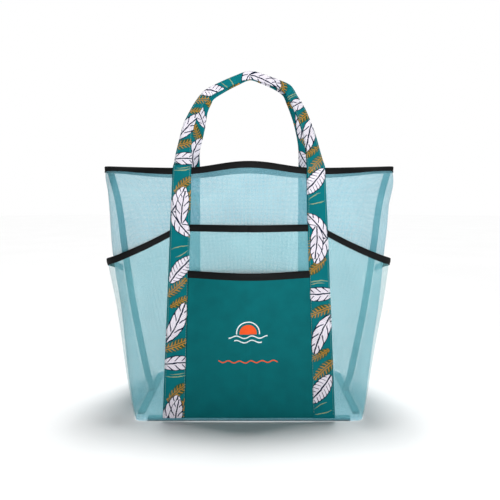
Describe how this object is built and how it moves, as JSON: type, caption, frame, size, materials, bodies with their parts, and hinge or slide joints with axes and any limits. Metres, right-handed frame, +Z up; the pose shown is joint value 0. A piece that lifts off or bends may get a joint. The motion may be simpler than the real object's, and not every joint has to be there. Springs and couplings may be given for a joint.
{
  "type": "mesh beach tote bag",
  "caption": "Open-topped see-through mesh tote with a boxed base, bound seams, outside pockets and two folding fabric strap handles.",
  "frame": {"origin": "middle of the base panel's underside, on the surface that the bag stands on", "axes": "+Z up, X along the bag's width with the side seams at both ends, the front with its pockets faces -Y"},
  "size_m": [0.4174, 0.1899, 0.4659],
  "materials": {
    "net_base": "open polyester net",
    "net_front": "open polyester net",
    "net_back": "open polyester net",
    "net_tall_pocket": "open polyester net",
    "net_side_pocket_left": "open polyester net",
    "net_side_pocket_right": "open polyester net",
    "pocket_cloth": "plain woven polyester",
    "tape_centre_pocket": "ribbed binding tape",
    "tape_tall_pocket": "ribbed binding tape",
    "tape_side_pocket_left": "ribbed binding tape",
    "tape_side_pocket_right": "ribbed binding tape",
    "tape_front_rim": "ribbed binding tape",
    "tape_back_rim": "ribbed binding tape",
    "seam_tape_left": "plain seam tape",
    "seam_tape_right": "plain seam tape",
    "seam_tape_base_front": "plain seam tape",
    "seam_tape_base_back": "plain seam tape",
    "seam_tape_base_left": "plain seam tape",
    "seam_tape_base_right": "plain seam tape",
    "strap_front_left": "printed woven polyester",
    "strap_front_right": "printed woven polyester",
    "strap_back_left": "printed woven polyester",
    "strap_back_right": "printed woven polyester",
    "handle_front": "printed woven polyester",
    "handle_back": "printed woven polyester"
  },
  "bodies": {
    "bag": {"base_panel": "net_base", "front_panel": "net_front", "back_panel": "net_back", "mesh_pocket": "net_tall_pocket", "side_pocket_left": "net_side_pocket_left", "side_pocket_right": "net_side_pocket_right", "centre_pocket": "pocket_cloth", "centre_pocket_binding": "tape_centre_pocket", "mesh_pocket_binding": "tape_tall_pocket", "side_pocket_binding_left": "tape_side_pocket_left", "side_pocket_binding_right": "tape_side_pocket_right", "front_rim_binding": "tape_front_rim", "back_rim_binding": "tape_back_rim", "side_seam_binding_left": "seam_tape_left", "side_seam_binding_right": "seam_tape_right", "base_seam_binding_front": "seam_tape_base_front", "base_seam_binding_back": "seam_tape_base_back", "base_seam_binding_left": "seam_tape_base_left", "base_seam_binding_right": "seam_tape_base_right", "front_strap_left": "strap_front_left", "front_strap_right": "strap_front_right", "back_strap_left": "strap_back_left", "back_strap_right": "strap_back_right"},
    "front_handle": {"front_handle": "handle_front"},
    "back_handle": {"back_handle": "handle_back"}
  },
  "joints": [
    {"name": "front_handle_fold", "type": "hinge", "parent": "bag", "child": "front_handle", "pos_m": [0, -0.05674, 0.3225], "axis": [1, 0, 0], "range_deg": [0, 165]},
    {"name": "back_handle_fold", "type": "hinge", "parent": "bag", "child": "back_handle", "pos_m": [0, 0.05674, 0.3225], "axis": [-1, 0, 0], "range_deg": [0, 165]}
  ]
}
